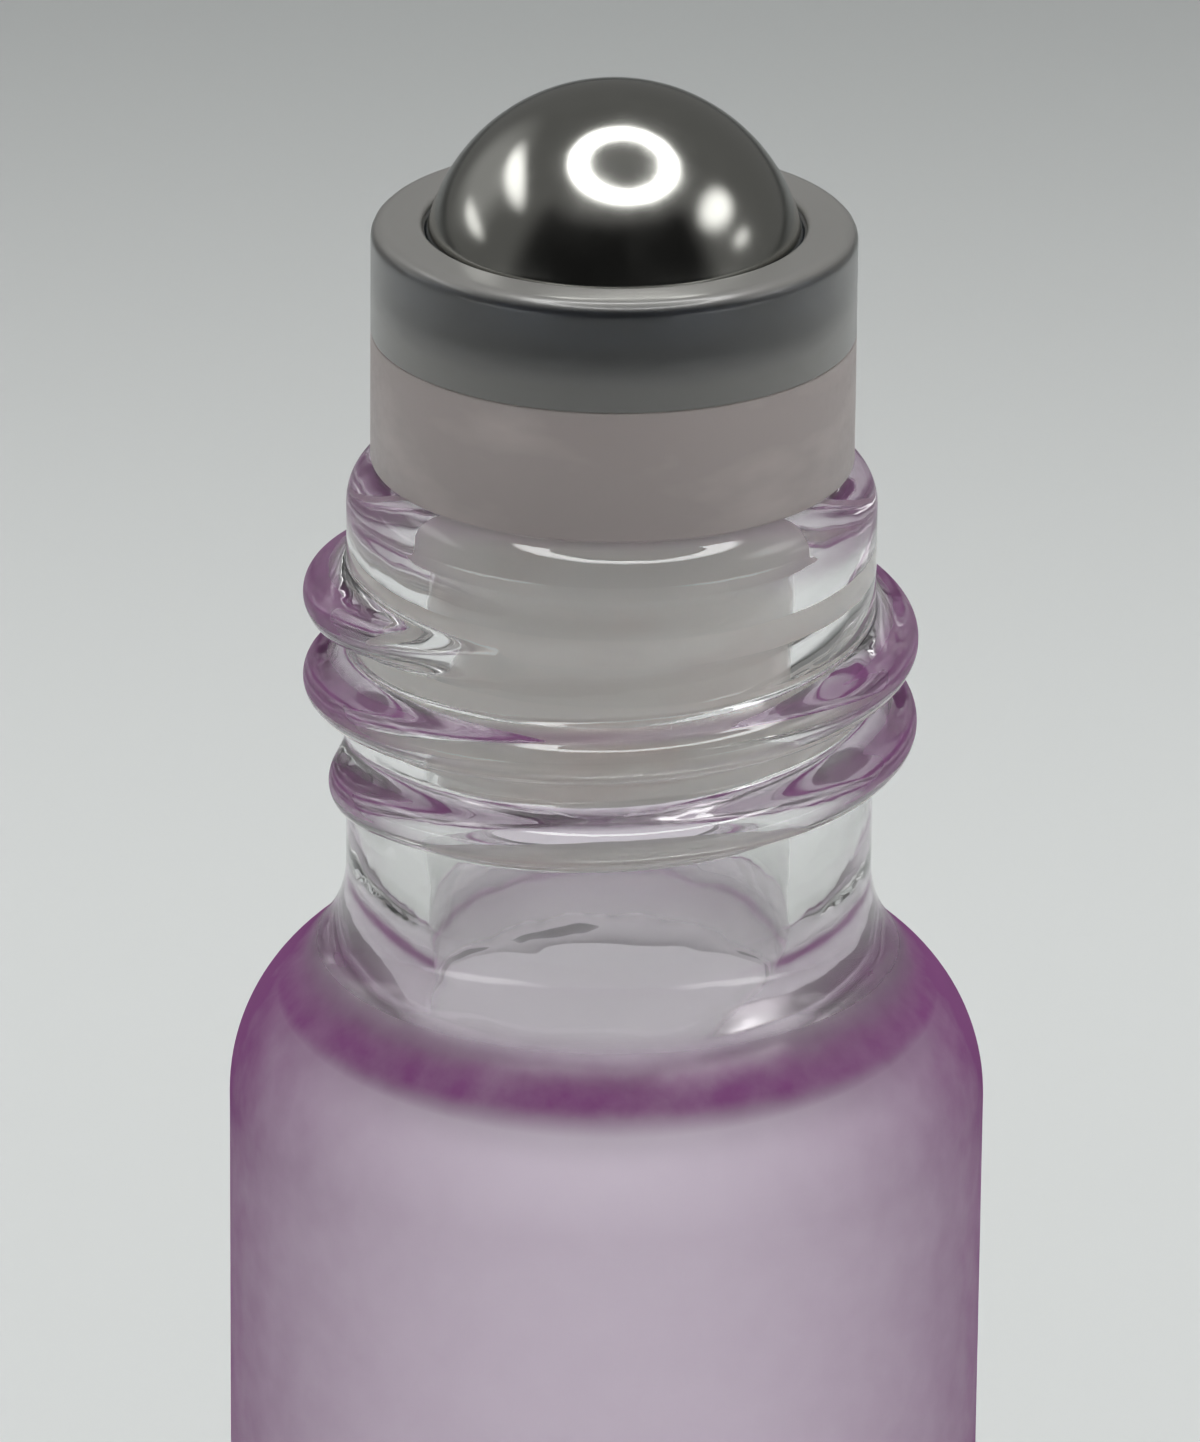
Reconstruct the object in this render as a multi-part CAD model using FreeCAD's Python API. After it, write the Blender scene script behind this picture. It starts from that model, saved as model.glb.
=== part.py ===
"""Roll-on bottle: a glass bottle with a threaded neck, a plastic roller fitment in two pieces, and a steel ball.

Millimetres, +Z up, origin at the centre of the base plane. The bottle's front is -Y.
"""

import FreeCAD
import Part

import math
import os

# Glass bottle: body, base and shoulder
BODY_DIAMETER = 20.0
BODY_HEIGHT = 56.0  # base plane to the start of the shoulder
SIDE_WALL = 1.9
BASE_THICKNESS = 3.0
HEEL_RADIUS = 2.0
INNER_HEEL_RADIUS = 2.5
PUSH_UP_DIAMETER = 12.4
PUSH_UP_DEPTH = 0.7
SHOULDER_RADIUS = 4.8
NECK_FILLET_RADIUS = 3.9
INNER_SHOULDER_RISE = 2.3  # start of the shoulder up to the flat ceiling inside it
INNER_SHOULDER_RADIUS = 0.9
INNER_NECK_RADIUS = 0.7

# Glass bottle: neck finish
BORE_DIAMETER = 9.5
NECK_WALL = 2.17
FINISH_HEIGHT = 11.27  # straight part of the neck, up to the top of the lip
LIP_RADIUS = 1.2
MOUTH_RADIUS = 0.4

# Right-hand cap thread, a rounded ridge that fades out at both ends
THREAD_HEIGHT = 1.13
THREAD_PITCH = 2.33
THREAD_TURNS = 2.22
THREAD_BELOW_LIP = 3.32  # top of the lip down to the middle of the ridge at its upper end
THREAD_UPPER_END_ANGLE = 246.0  # azimuth of the upper end, from +X towards +Y
THREAD_CREST_RADIUS = 0.62
THREAD_FLANK_ANGLE = 20.0
THREAD_RUN_OUT = 50.0  # degrees over which each end rises from the neck
THREAD_SINK = 0.05  # how far the crest lies inside the neck at the very ends
THREAD_STEP = 15.0  # degrees between sections of the ridge

# Roller ball
BALL_DIAMETER = 10.0
BALL_CLEARANCE = 0.05
RIM_ABOVE_BALL_CENTRE = 1.34

# Ball retainer, the upper ring of the fitment
SOCKET_WALL = 1.25
RETAINER_HEIGHT = 2.94
RIM_ROUNDING = 0.4
LIP_EDGE_CHAMFER = 0.2

# Roller plug, the lower piece of the fitment
COLLAR_HEIGHT = 3.55
COLLAR_EDGE_CHAMFER = 0.15
SPIGOT_HEIGHT = 1.1
SPIGOT_WALL = 0.55
SNAP_BEAD_RADIUS = 0.15
SNAP_CLEARANCE = 0.03
STEM_LENGTH = 9.5
STEM_GAP = 0.25
STEM_WALL = 1.1
STEM_TIP_HEIGHT = 0.9
STEM_TIP_TAPER = 0.45
SEAL_RIB_COUNT = 4
SEAL_RIB_PITCH = 1.85
SEAL_RIB_BELOW_LIP = 1.5  # top of the lip down to the first rib
SEAL_RIB_HALF_HEIGHT = 0.45
SEAL_CLEARANCE = 0.03

# Radii that several pieces share
BODY_RADIUS = BODY_DIAMETER / 2
BORE_RADIUS = BORE_DIAMETER / 2
NECK_RADIUS = BORE_RADIUS + NECK_WALL
BALL_RADIUS = BALL_DIAMETER / 2
SOCKET_RADIUS = BALL_RADIUS + BALL_CLEARANCE
COLLAR_RADIUS = SOCKET_RADIUS + SOCKET_WALL
SPIGOT_RADIUS = SOCKET_RADIUS + SPIGOT_WALL
STEM_RADIUS = BORE_RADIUS - STEM_GAP
SEAL_RIB_RADIUS = BORE_RADIUS - SEAL_CLEARANCE
FEED_RADIUS = STEM_RADIUS - STEM_WALL

UP = FreeCAD.Vector(0, 0, 1)
ORIGIN = FreeCAD.Vector(0, 0, 0)


def shoulder_turn(step, first_radius, second_radius):
    """Angle through which two tangent arcs turn to move a vertical wall inwards by step."""
    return math.acos(1 - step / (first_radius + second_radius))


def shoulder_rise(step, first_radius, second_radius):
    """Height that the two tangent arcs of a shoulder take."""
    return (first_radius + second_radius) * math.sin(shoulder_turn(step, first_radius, second_radius))


# Heights that several pieces share
NECK_BASE = BODY_HEIGHT + shoulder_rise(BODY_RADIUS - NECK_RADIUS, SHOULDER_RADIUS, NECK_FILLET_RADIUS)
LIP_TOP = NECK_BASE + FINISH_HEIGHT
SEAM = LIP_TOP + COLLAR_HEIGHT
RIM = SEAM + RETAINER_HEIGHT
BALL_CENTRE = RIM - RIM_ABOVE_BALL_CENTRE
SPIGOT_TOP = SEAM + SPIGOT_HEIGHT
SNAP_HEIGHT = SEAM + SPIGOT_HEIGHT / 2


def point(radius, height):
    """A point of a profile, in the XZ plane."""
    return FreeCAD.Vector(radius, 0, height)


def line(start, end):
    return Part.LineSegment(start, end).toShape()


def arc(start, middle, end):
    return Part.Arc(start, middle, end).toShape()


def arc_about(centre, radius, first_angle, last_angle):
    """Arc of a profile about a centre, between two angles in radians."""

    def at(angle):
        return centre + point(radius * math.cos(angle), radius * math.sin(angle))

    return arc(at(first_angle), at((first_angle + last_angle) / 2), at(last_angle))


def path(*points):
    """Straight edges through the points of a profile."""
    return [line(start, end) for start, end in zip(points, points[1:])]


def revolve(edges):
    """Solid of revolution about Z from the edges of one closed profile."""
    wire = Part.Wire(Part.__sortEdges__(edges))
    return Part.Face(wire).revolve(ORIGIN, UP, 360)


def shoulder(radius, height, step, first_radius, second_radius):
    """Two tangent arcs that carry a vertical wall upwards and inwards by step."""
    turn = shoulder_turn(step, first_radius, second_radius)
    first_centre = point(radius - first_radius, height)
    top = height + shoulder_rise(step, first_radius, second_radius)
    second_centre = point(radius - step + second_radius, top)
    lower = arc_about(first_centre, first_radius, 0, turn)
    upper = arc_about(second_centre, second_radius, math.pi + turn, math.pi)
    return [lower, upper]


def socket_angle(height):
    """Angle above the ball's equator at which the socket reaches a height."""
    return math.asin((height - BALL_CENTRE) / SOCKET_RADIUS)


def socket_point(height):
    return point(SOCKET_RADIUS * math.cos(socket_angle(height)), height)


def socket_arc(low, high):
    """Profile of the spherical socket between two heights."""
    return arc_about(point(0, BALL_CENTRE), SOCKET_RADIUS, socket_angle(low), socket_angle(high))


def outer_glass():
    """Outer profile of the bottle, from the middle of the base to the lip."""
    push_up_radius = PUSH_UP_DIAMETER / 2
    bearing_radius = BODY_RADIUS - HEEL_RADIUS
    base_middle = point(0, PUSH_UP_DEPTH)
    push_up_edge = point(push_up_radius, 0)
    quarter_drop = PUSH_UP_DEPTH / 4
    step = BODY_RADIUS - NECK_RADIUS
    edges = [arc(base_middle, point(push_up_radius / 2, PUSH_UP_DEPTH - quarter_drop), push_up_edge)]
    edges += path(push_up_edge, point(bearing_radius, 0))
    edges += [arc_about(point(bearing_radius, HEEL_RADIUS), HEEL_RADIUS, -math.pi / 2, 0)]
    edges += path(point(BODY_RADIUS, HEEL_RADIUS), point(BODY_RADIUS, BODY_HEIGHT))
    edges += shoulder(BODY_RADIUS, BODY_HEIGHT, step, SHOULDER_RADIUS, NECK_FILLET_RADIUS)
    edges += path(point(NECK_RADIUS, NECK_BASE), point(NECK_RADIUS, LIP_TOP - LIP_RADIUS))
    edges += [arc_about(point(NECK_RADIUS - LIP_RADIUS, LIP_TOP - LIP_RADIUS), LIP_RADIUS, 0, math.pi / 2)]
    return edges


def inner_glass():
    """Inner profile of the bottle, from the middle of the floor to the mouth."""
    wall_radius = BODY_RADIUS - SIDE_WALL
    floor_radius = wall_radius - INNER_HEEL_RADIUS
    heel_centre = point(floor_radius, BASE_THICKNESS + INNER_HEEL_RADIUS)
    floor_middle = point(0, BASE_THICKNESS + PUSH_UP_DEPTH)
    quarter_drop = PUSH_UP_DEPTH / 4
    floor_quarter = point(floor_radius / 2, BASE_THICKNESS + PUSH_UP_DEPTH - quarter_drop)
    ceiling = BODY_HEIGHT + INNER_SHOULDER_RISE
    shoulder_centre = point(wall_radius - INNER_SHOULDER_RADIUS, ceiling - INNER_SHOULDER_RADIUS)
    bore_centre = point(BORE_RADIUS + INNER_NECK_RADIUS, ceiling + INNER_NECK_RADIUS)
    mouth_centre = point(BORE_RADIUS + MOUTH_RADIUS, LIP_TOP - MOUTH_RADIUS)
    edges = [arc(floor_middle, floor_quarter, point(floor_radius, BASE_THICKNESS))]
    edges += [arc_about(heel_centre, INNER_HEEL_RADIUS, -math.pi / 2, 0)]
    edges += path(point(wall_radius, heel_centre.z), point(wall_radius, shoulder_centre.z))
    edges += [arc_about(shoulder_centre, INNER_SHOULDER_RADIUS, 0, math.pi / 2)]
    edges += path(point(shoulder_centre.x, ceiling), point(bore_centre.x, ceiling))
    edges += [arc_about(bore_centre, INNER_NECK_RADIUS, -math.pi / 2, -math.pi)]
    edges += path(point(BORE_RADIUS, bore_centre.z), point(BORE_RADIUS, LIP_TOP - MOUTH_RADIUS))
    edges += [arc_about(mouth_centre, MOUTH_RADIUS, math.pi, math.pi / 2)]
    return edges


def thread_section(azimuth, height, crest):
    """Closed section of the thread ridge in the radial plane at an azimuth, with its crest at a radius."""
    flank = math.radians(THREAD_FLANK_ANGLE)
    root = NECK_RADIUS - THREAD_CREST_RADIUS
    crest_centre = crest - THREAD_CREST_RADIUS
    tangent_radius = crest_centre + THREAD_CREST_RADIUS * math.sin(flank)
    tangent_offset = THREAD_CREST_RADIUS * math.cos(flank)
    root_offset = tangent_offset + (tangent_radius - root) * math.tan(flank)
    low_root = point(root, height - root_offset)
    low_tangent = point(tangent_radius, height - tangent_offset)
    high_tangent = point(tangent_radius, height + tangent_offset)
    high_root = point(root, height + root_offset)
    edges = path(low_root, low_tangent)
    edges += [arc(low_tangent, point(crest, height), high_tangent)]
    edges += path(high_tangent, high_root, low_root)
    wire = Part.Wire(edges)
    wire.rotate(ORIGIN, UP, azimuth)
    return wire


def thread_ridge():
    """The cap thread as one loft through sections that climb round the neck."""
    total = 360 * THREAD_TURNS
    count = math.ceil(total / THREAD_STEP)
    sections = []
    for index in range(count + 1):
        down = total * index / count
        from_end = min(down, total - down)
        share = min(1.0, from_end / THREAD_RUN_OUT)
        rise = share * share * (3 - 2 * share)
        crest = NECK_RADIUS - THREAD_SINK + (THREAD_HEIGHT + THREAD_SINK) * rise
        height = LIP_TOP - THREAD_BELOW_LIP - THREAD_PITCH * down / 360
        sections.append(thread_section(THREAD_UPPER_END_ANGLE - down, height, crest))
    return Part.makeLoft(sections, True, False)


def glass_bottle():
    """Hollow bottle with a pushed-up base, rounded shoulder, bored neck and cap thread."""
    lip = path(point(NECK_RADIUS - LIP_RADIUS, LIP_TOP), point(BORE_RADIUS + MOUTH_RADIUS, LIP_TOP))
    axis = path(point(0, PUSH_UP_DEPTH), point(0, BASE_THICKNESS + PUSH_UP_DEPTH))
    vessel = revolve(outer_glass() + lip + inner_glass() + axis)
    return vessel.fuse(thread_ridge()).removeSplitter()


def stem_profile():
    """Outer profile of the plug's stem, from under the collar past the seal ribs to the tip."""
    tip = LIP_TOP - STEM_LENGTH
    edges = []
    previous = point(STEM_RADIUS, LIP_TOP)
    for index in range(SEAL_RIB_COUNT):
        height = LIP_TOP - SEAL_RIB_BELOW_LIP - SEAL_RIB_PITCH * index
        high = point(STEM_RADIUS, height + SEAL_RIB_HALF_HEIGHT)
        low = point(STEM_RADIUS, height - SEAL_RIB_HALF_HEIGHT)
        edges += path(previous, high)
        edges += [arc(high, point(SEAL_RIB_RADIUS, height), low)]
        previous = low
    taper_start = point(STEM_RADIUS, tip + STEM_TIP_HEIGHT)
    taper_end = point(STEM_RADIUS - STEM_TIP_TAPER, tip)
    edges += path(previous, taper_start, taper_end, point(FEED_RADIUS, tip))
    return edges


def roller_plug():
    """Plug with a ribbed stem, a collar that sits on the lip, and the lower half of the ball's socket."""
    seat = BALL_CENTRE - math.sqrt(SOCKET_RADIUS**2 - FEED_RADIUS**2)
    bead_low = point(SPIGOT_RADIUS, SNAP_HEIGHT - SNAP_BEAD_RADIUS)
    bead_high = point(SPIGOT_RADIUS, SNAP_HEIGHT + SNAP_BEAD_RADIUS)
    edges = stem_profile()
    edges += path(
        point(STEM_RADIUS, LIP_TOP),
        point(COLLAR_RADIUS - COLLAR_EDGE_CHAMFER, LIP_TOP),
        point(COLLAR_RADIUS, LIP_TOP + COLLAR_EDGE_CHAMFER),
        point(COLLAR_RADIUS, SEAM),
        point(SPIGOT_RADIUS, SEAM),
        bead_low,
    )
    edges += [arc(bead_low, point(SPIGOT_RADIUS + SNAP_BEAD_RADIUS, SNAP_HEIGHT), bead_high)]
    edges += path(bead_high, point(SPIGOT_RADIUS, SPIGOT_TOP), socket_point(SPIGOT_TOP))
    edges += [socket_arc(seat, SPIGOT_TOP)]
    edges += path(point(FEED_RADIUS, seat), point(FEED_RADIUS, LIP_TOP - STEM_LENGTH))
    return revolve(edges)


def ball_retainer():
    """Ring that snaps over the plug's spigot and holds the ball down with its inward lip."""
    skirt_radius = SPIGOT_RADIUS + SNAP_CLEARANCE
    ceiling = SPIGOT_TOP + SNAP_CLEARANCE
    groove_radius = SNAP_BEAD_RADIUS + SNAP_CLEARANCE
    groove_low = point(skirt_radius, SNAP_HEIGHT - groove_radius)
    groove_high = point(skirt_radius, SNAP_HEIGHT + groove_radius)
    lip_edge = socket_point(RIM - LIP_EDGE_CHAMFER)
    rim_centre = point(COLLAR_RADIUS - RIM_ROUNDING, RIM - RIM_ROUNDING)
    edges = path(groove_low, point(skirt_radius, SEAM), point(COLLAR_RADIUS, SEAM))
    edges += path(point(COLLAR_RADIUS, SEAM), point(COLLAR_RADIUS, RIM - RIM_ROUNDING))
    edges += [arc_about(rim_centre, RIM_ROUNDING, 0, math.pi / 2)]
    edges += path(point(COLLAR_RADIUS - RIM_ROUNDING, RIM), point(lip_edge.x, RIM), lip_edge)
    edges += [socket_arc(ceiling, RIM - LIP_EDGE_CHAMFER)]
    edges += path(socket_point(ceiling), point(skirt_radius, ceiling), groove_high)
    edges += [arc(groove_high, point(skirt_radius + groove_radius, SNAP_HEIGHT), groove_low)]
    return revolve(edges)


def roller_ball():
    return Part.makeSphere(BALL_RADIUS, point(0, BALL_CENTRE))


def main():
    os.makedirs("parts", exist_ok=True)
    pieces = {
        "glass_bottle": glass_bottle(),
        "roller_plug": roller_plug(),
        "ball_retainer": ball_retainer(),
        "roller_ball": roller_ball(),
    }
    for name, shape in pieces.items():
        shape.exportStep(f"parts/{name}.step")


main()
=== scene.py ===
"""Looks of the roll-on bottle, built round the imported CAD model. Metres, +Z up, the front is -Y."""

import math

import bpy
from mathutils import Matrix, Vector


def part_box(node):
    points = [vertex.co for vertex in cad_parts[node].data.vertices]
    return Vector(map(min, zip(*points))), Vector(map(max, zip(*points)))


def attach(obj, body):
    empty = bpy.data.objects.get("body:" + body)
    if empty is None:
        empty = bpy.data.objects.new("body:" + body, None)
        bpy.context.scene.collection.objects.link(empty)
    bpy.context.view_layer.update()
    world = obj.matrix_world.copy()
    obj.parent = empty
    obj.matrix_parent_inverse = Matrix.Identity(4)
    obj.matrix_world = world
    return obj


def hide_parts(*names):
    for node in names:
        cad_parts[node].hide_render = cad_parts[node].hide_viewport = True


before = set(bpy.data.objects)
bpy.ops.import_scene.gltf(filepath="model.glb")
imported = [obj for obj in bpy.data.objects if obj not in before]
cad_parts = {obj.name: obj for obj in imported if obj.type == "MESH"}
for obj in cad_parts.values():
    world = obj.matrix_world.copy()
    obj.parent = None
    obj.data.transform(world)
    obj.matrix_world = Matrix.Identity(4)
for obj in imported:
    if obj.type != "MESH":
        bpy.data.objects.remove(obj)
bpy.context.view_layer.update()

MM = 0.001
TOLERANCE = 0.001 * MM

# Sizes read from the frame
LIP_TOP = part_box("glass_bottle")[1].z
PLUG_LOW, PLUG_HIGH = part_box("roller_plug")
STEM_TIP = PLUG_LOW.z
SPIGOT_TOP = PLUG_HIGH.z
RING_LOW, RING_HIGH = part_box("ball_retainer")
SEAM = RING_LOW.z
RIM = RING_HIGH.z
BALL_LOW, BALL_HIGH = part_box("roller_ball")
BALL_RADIUS = (BALL_HIGH.z - BALL_LOW.z) / 2
BALL_CENTRE = (BALL_HIGH.z + BALL_LOW.z) / 2

# Glass bottle
BODY_RADIUS = 10.0 * MM
BODY_HEIGHT = 56.0 * MM
SIDE_WALL = 1.9 * MM
BASE_THICKNESS = 3.0 * MM
HEEL_RADIUS = 2.0 * MM
INNER_HEEL_RADIUS = 2.5 * MM
PUSH_UP_RADIUS = 6.2 * MM
PUSH_UP_DEPTH = 0.7 * MM
SHOULDER_RADIUS = 4.8 * MM
NECK_FILLET_RADIUS = 3.9 * MM
INNER_CEILING = BODY_HEIGHT + 2.3 * MM
INNER_SHOULDER_RADIUS = 0.9 * MM
INNER_NECK_RADIUS = 0.7 * MM
NECK_RADIUS = 6.92 * MM
BORE_RADIUS = 4.75 * MM
LIP_RADIUS = 1.2 * MM
MOUTH_RADIUS = 0.4 * MM

# Uneven lower end of the bore, with its waves as (count round the bore, share of the depth, phase)
BORE_WAVE_DEPTH = 0.28 * MM
BORE_WAVE_REACH = 2.6 * MM
BORE_WAVES = ((2, 0.5, 0.4), (5, 0.3, 2.1), (9, 0.2, 0.0))

# Cap thread, with its angles in degrees
THREAD_HEIGHT = 1.13 * MM
THREAD_PITCH = 2.33 * MM
THREAD_TURNS = 2.22
THREAD_BELOW_LIP = 3.32 * MM
THREAD_UPPER_END_ANGLE = 246.0
THREAD_CREST_RADIUS = 0.62 * MM
THREAD_FLANK_ANGLE = 20.0
THREAD_ROOT_ROUNDING = 0.3 * MM
THREAD_RUN_OUT = 50.0

# Roller fitment
BALL_CLEARANCE = 0.05 * MM
SOCKET_RADIUS = BALL_RADIUS + BALL_CLEARANCE
COLLAR_RADIUS = 6.3 * MM
SPIGOT_RADIUS = 5.6 * MM
SNAP_CLEARANCE = 0.03 * MM
STEM_RADIUS = 4.6 * MM
STEM_TIP_HEIGHT = 0.9 * MM
STEM_TIP_TAPER = 0.45 * MM
FEED_RADIUS = 3.4 * MM
SEAL_RIB_RADIUS = 4.82 * MM
SEAL_RIB_COUNT = 4
SEAL_RIB_PITCH = 1.85 * MM
SEAL_RIB_BELOW_LIP = 1.5 * MM
SEAL_RIB_HALF_HEIGHT = 0.7 * MM
LIP_EDGE_CHAMFER = 0.2 * MM
RIM_ROUNDING = 0.4 * MM
EDGE_ROUNDING = 0.12 * MM
SEAM_ROUNDING = 0.06 * MM
SKIRT_ROUNDING = 0.05 * MM

# Clear glass, with painted shade that greys it in the low neck, and painted light that makes it clearest in
# the upper neck, where the stem shows through
GLASS_IOR = 1.52
GLASS_TINT = (0.97, 0.975, 0.972)
LOW_NECK_PAINTED_SHADE = (0.78, 0.79, 0.775)
LOW_NECK_SHADE_STARTS = (INNER_CEILING - 0.8 * MM, INNER_CEILING)
UPPER_NECK_PAINTED_LIGHT = (1.0, 1.0, 1.0)
UPPER_NECK_LIGHT_STARTS = (BODY_HEIGHT + 6.5 * MM, BODY_HEIGHT + 10.0 * MM)
ABSORPTION_COLOUR = (0.06, 0.06, 0.06)
ABSORPTION_DENSITY = 9.0
RIPPLE_SCALE = 420
RIPPLE_STRENGTH = 0.3
RIPPLE_DEPTH = 0.12 * MM
OUTSIDE = "outside"

# Lilac coat and its frost, each of which fades out between two heights
COAT_COLOUR = (0.34, 0.128, 0.318)
COAT_TINT = (1.0, 0.87, 1.0)
COAT_PASSING = 0.5
COAT_FADES = (BODY_HEIGHT + 3.4 * MM, BODY_HEIGHT + 4.9 * MM)
FROST_FADES = (BODY_HEIGHT + 3.2 * MM, BODY_HEIGHT + 5.2 * MM)
FROST_ROUGHNESS = 0.65
COAT_COVER = 0.02
COAT_SLANT_COVER = (0.82, 1.3)
COAT_SLANT_RISES = (BODY_HEIGHT - 2.0 * MM, BODY_HEIGHT + 3.0 * MM)
# Partly coat, partly painted shade: the coat thickens on the shoulder to darken the band there
COAT_SHOULDER_COVER_AND_SHADE = 0.93
COAT_SHOULDER_SHADE_RISES = (BODY_HEIGHT + 2.5 * MM, BODY_HEIGHT + 3.3 * MM)
COAT_INNER_COVER = 0.9
COAT_INNER_RISES = (BODY_HEIGHT - 2.0 * MM, BODY_HEIGHT + 1.0 * MM)
COAT_INNER_SLANT = (0.5, 0.64)
MOTTLE_SCALE = 900
MOTTLE_DETAIL = 4
MOTTLE_COVER = (0.9, 1.1)

# Painted reflection: lilac lacquer on the upper sides of the ridges and on the lip, standing in for the
# lilac coat that the glass reflects and bends into view there
RIDGE_REFLECTION_COVER = 0.66
RIDGE_REFLECTION_RADII = (NECK_RADIUS + 0.1 * MM, NECK_RADIUS + 0.6 * MM)
LIP_REFLECTION_COVER = 0.5
LIP_REFLECTION_HEIGHTS = (LIP_TOP - 1.9 * MM, LIP_TOP - 1.2 * MM)
PAINTED_REFLECTION_SLANT = (0.12, 0.55)
PAINTED_REFLECTION_TILT = (-0.5, 0.0)

# Smoky plastic of the ring, with a milky haze on its top, at its foot and at a slant; the haze on the top is
# painted light, paler where the light from overhead falls
SMOKY_COLOUR = (0.16, 0.18, 0.225)
SMOKY_IOR = 1.45
SMOKY_ROUGHNESS = (0.28, 0.32)
SMOKY_GLOSS = 0.35
SMOKY_GLOSS_ROUGHNESS = 0.08
SMOKY_CLOUD_SCALE = 300
HAZE_DARK = (0.185, 0.182, 0.173)
HAZE_PALE = (0.2, 0.197, 0.188)
HAZE_ROUGHNESS = 0.3
HAZE_TOP_PAINTED_LIGHT = (RIM - 0.25 * MM, RIM - 0.02 * MM)
HAZE_TOP_LIGHT_SHARE = (0.06, 0.95)
HAZE_FOOT = (SPIGOT_TOP - 0.6 * MM, SPIGOT_TOP + 0.5 * MM)
HAZE_FOOT_SHARE = (0.6, 0)
HAZE_SLANT_SHARE = 0.72

# Milky plastic of the plug: its stem is its pale colour raised as painted light, its collar deeper as
# painted shade of the ball behind it
STEM_PAINTED_LIGHT_COLOUR = (1.0, 0.9, 0.86)
COLLAR_PAINTED_SHADE_COLOUR = (0.385, 0.34, 0.328)
COLLAR_SHADE_DEEPENS = (LIP_TOP - 0.5 * MM, LIP_TOP + 0.1 * MM)
SCATTER_WEIGHT = 0.8
SCATTER_RADIUS = (1.0, 1.0, 1.0)
SCATTER_SCALE = 1.0 * MM
MILKY_CLOUD_SCALE = 260
MILKY_CLOUD_STRETCH = (1, 1, 2.5)
MILKY_CLOUD_SHADE = (-0.12, 0.12)
MILKY_ROUGHNESS = (0.36, 0.48)
GRAIN_SCALE = 4000
GRAIN_STRENGTH = 0.05
GRAIN_DEPTH = 0.02 * MM

# Polished steel of the ball
STEEL_COLOUR = (0.45, 0.45, 0.42)
STEEL_ROUGHNESS = (0.12, 0.19)
WIPE_SCALE = 700
WIPE_DETAIL = 4
WIPE_STRETCH = (1, 1, 0.25)
WIPE_SPAN = (0.35, 0.7)
POLISH_SCALE = 2500
POLISH_STRENGTH = 0.03
POLISH_DEPTH = 0.01 * MM

# Noise textures, with the span in which most of their values lie
PLAIN_DETAIL = 2
PLASTIC_DETAIL = 3
NOISE_SPAN = (0.3, 0.7)

# Floor, with painted shade that darkens it behind the bottle
FLOOR_RADII = (0, 0.4, 1.5, 6.0)
FLOOR_ROUGHNESS = 0.8
FLOOR_NEAR = (0.615, 0.635, 0.63)
FLOOR_PAINTED_SHADE = (0.24, 0.25, 0.248)
FLOOR_SHADE_FADES = (0.13, 0.32)

# Round light overhead
RING_LIGHT_INNER = 0.37
RING_LIGHT_OUTER = 0.575
RING_LIGHT_PLACE = (0.10, -0.065, 1.15)
RING_LIGHT_STRENGTH = 9.9
RING_LIGHT_FADES = (0.85, 1.02)

# Light panels: name, direction from the bottle, width, height, strength
PANELS = (
    ("left_window", (-0.7, 0.2, 0.63), 0.9, 0.24, 2.4),
    ("left_strip", (-0.92, 0.28, 0.25), 0.6, 0.14, 1.6),
    ("left_wall", (-0.72, 0.48, 0.42), 1.1, 0.8, 0.27),
    ("right_window", (0.82, -0.07, 0.57), 0.62, 0.36, 2.4),
    ("right_strip", (0.95, 0.0, 0.28), 0.34, 0.14, 1.6),
    ("left_low", (-0.8, -0.6, -0.01), 1.2, 0.1, 4.0),
    ("right_low", (0.8, -0.6, -0.01), 1.2, 0.1, 4.0),
)
PANEL_DISTANCE = 0.9
PANEL_FADES = (0.3, 1.0)

# Surroundings, dark within a width of the front and below a height
WORLD_GREY = (0.16, 0.16, 0.157)
WORLD_DARK = (0.012, 0.012, 0.012)
FRONT = (0, -1, 0)
DARK_WIDTH = (0.3, 0.62)
DARK_HEIGHT = (0.66, 0.84)

# Bounces of light, enough for the neck's inner reflections
LIGHT_BOUNCES = 28

# Camera, from the photograph's 1200 x 1442 frame
IMAGE_HEIGHT = 1442
FOCAL_PIXELS = 12121
SENSOR = 36.0
CAMERA_ELEVATION = math.radians(22.0)
CAMERA_ROLL = math.radians(0.52)
CAMERA_DISTANCE = 318 * MM
CAMERA_NEAR = 0.01
CAMERA_FAR = 20
AIM = Vector((-0.26 * MM, 0, 66.5 * MM))

# Mesh fineness: segments round the axis, rows along straight stretches, steps round arcs
GLASS_SEGMENTS = 240
FITMENT_SEGMENTS = 160
STAGE_SEGMENTS = 96
BASE_ROWS = 6
BODY_ROWS = 16
NECK_ROWS = 170
INNER_ROWS = 12
CEILING_ROWS = 8
PUSH_UP_STEPS = 10
OUTER_STEPS = 14
SHOULDER_STEPS = 20
INNER_STEPS = 12
MOUTH_STEPS = 8
INNER_BASE_STEPS = 8
RING_SOCKET_STEPS = 14
CUP_STEPS = 16
SEAM_STEPS = 3
COLLAR_STEPS = 4
RIB_STEPS = 8
BALL_STEPS = 96
CORNER_STEPS = 5

# How far from a corner the points beside its arc lie, in reaches of the arc
BESIDE_ARC = 1.3


def arc(centre, radius, first, last, steps):
    """Points of a profile along an arc, with angles in degrees."""
    points = []
    for step in range(steps + 1):
        angle = math.radians(first + (last - first) * step / steps)
        points.append((centre[0] + radius * math.cos(angle), centre[1] + radius * math.sin(angle)))
    return points


def straight(start, end, steps):
    """Points of a profile along a line, both ends left out."""
    points = []
    for step in range(1, steps):
        share = step / steps
        points.append((start[0] + (end[0] - start[0]) * share, start[1] + (end[1] - start[1]) * share))
    return points


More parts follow.
